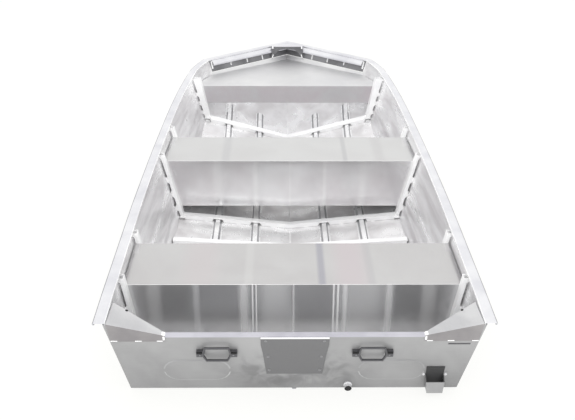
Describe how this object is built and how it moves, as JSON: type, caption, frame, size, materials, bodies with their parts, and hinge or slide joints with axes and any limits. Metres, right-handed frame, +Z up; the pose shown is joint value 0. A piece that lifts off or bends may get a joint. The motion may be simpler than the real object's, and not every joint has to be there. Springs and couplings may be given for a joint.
{
  "type": "open aluminium jon boat",
  "caption": "Open welded aluminium jon boat with a modified-V bottom, bench seats, bow deck, ribbed inside, raked transom with motor plate and fixed grab handles; floats on water.",
  "frame": {"origin": "on the floor under the middle of the boat's length and width, where its keel strip rests", "axes": "+X to starboard, +Y towards the bow, +Z up"},
  "size_m": [1.626, 3.734, 0.6761],
  "materials": {
    "hull_sheet": "bare mill finish",
    "rail_extrusion": "satin extruded",
    "bench_sheet": "bright mill finish",
    "motor_plate": "matt grey coat",
    "cast_fittings": "cast, dull"
  },
  "bodies": {
    "root": {"hull_bottom": "hull_sheet", "hull_side_aft_left": "hull_sheet", "hull_side_middle_left": "hull_sheet", "hull_side_fore_left": "hull_sheet", "hull_side_aft_right": "hull_sheet", "hull_side_middle_right": "hull_sheet", "hull_side_fore_right": "hull_sheet", "bow_header": "hull_sheet", "transom_skin": "hull_sheet", "transom_board": "hull_sheet", "sensor_bracket": "hull_sheet", "stringer_inner_left": "hull_sheet", "stringer_inner_right": "hull_sheet", "stringer_outer_left": "hull_sheet", "stringer_outer_right": "hull_sheet", "keel_runner": "hull_sheet", "stem_strip": "hull_sheet", "runner_left": "hull_sheet", "runner_right": "hull_sheet", "gunwale_left": "rail_extrusion", "gunwale_right": "rail_extrusion", "bow_cap": "rail_extrusion", "bow_angle": "rail_extrusion", "breasthook": "rail_extrusion", "transom_cap": "rail_extrusion", "corner_knee_left": "rail_extrusion", "corner_knee_right": "rail_extrusion", "transom_brace": "rail_extrusion", "side_frame_1_left": "rail_extrusion", "side_frame_1_right": "rail_extrusion", "side_frame_2_left": "rail_extrusion", "side_frame_2_right": "rail_extrusion", "side_frame_3_left": "rail_extrusion", "side_frame_3_right": "rail_extrusion", "side_frame_4_left": "rail_extrusion", "side_frame_4_right": "rail_extrusion", "side_frame_5_left": "rail_extrusion", "side_frame_5_right": "rail_extrusion", "floor_rib_1": "rail_extrusion", "floor_rib_2": "rail_extrusion", "floor_rib_3": "rail_extrusion", "floor_rib_4": "rail_extrusion", "floor_rib_5": "rail_extrusion", "floor_rib_6": "rail_extrusion", "rear_bench": "bench_sheet", "middle_bench": "bench_sheet", "bow_deck": "bench_sheet", "motor_plate_outer": "motor_plate", "motor_plate_inner": "motor_plate", "grab_handle_left": "cast_fittings", "grab_handle_right": "cast_fittings", "drain_flange": "cast_fittings", "bow_eye": "cast_fittings"}
  },
  "joints": []
}
